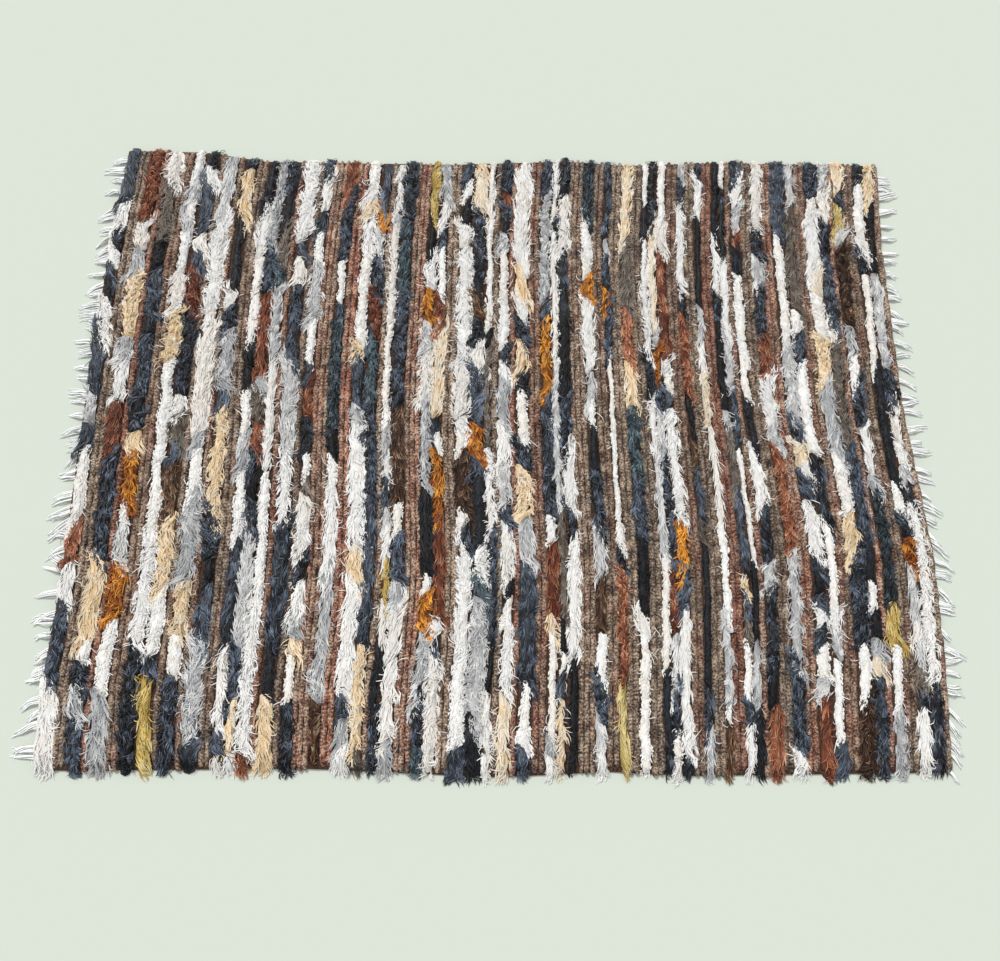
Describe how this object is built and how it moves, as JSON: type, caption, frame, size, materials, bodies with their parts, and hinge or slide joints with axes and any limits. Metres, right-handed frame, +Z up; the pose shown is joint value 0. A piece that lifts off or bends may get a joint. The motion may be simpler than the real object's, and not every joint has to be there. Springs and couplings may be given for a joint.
{
  "type": "woven sheepskin strip rug",
  "caption": "Flat rug handwoven from sheepskin strips and chenille yarn, with a short warp fringe at both sides.",
  "frame": {"origin": "middle of the rug's underside, on the floor", "axes": "+X along the warp, to the right fringe; +Y along the sheepskin strips, to the far rim; +Z up, out of the pile"},
  "size_m": [1.91, 1.452, 0.025],
  "materials": {
    "sheepskin_and_chenille": "shaggy dyed sheepskin strips woven with matt brown chenille yarn",
    "cotton_warp": "unbleached twisted cotton"
  },
  "bodies": {
    "root": {"woven_rug": "sheepskin_and_chenille", "fringe_left": "cotton_warp", "fringe_right": "cotton_warp"}
  },
  "joints": []
}
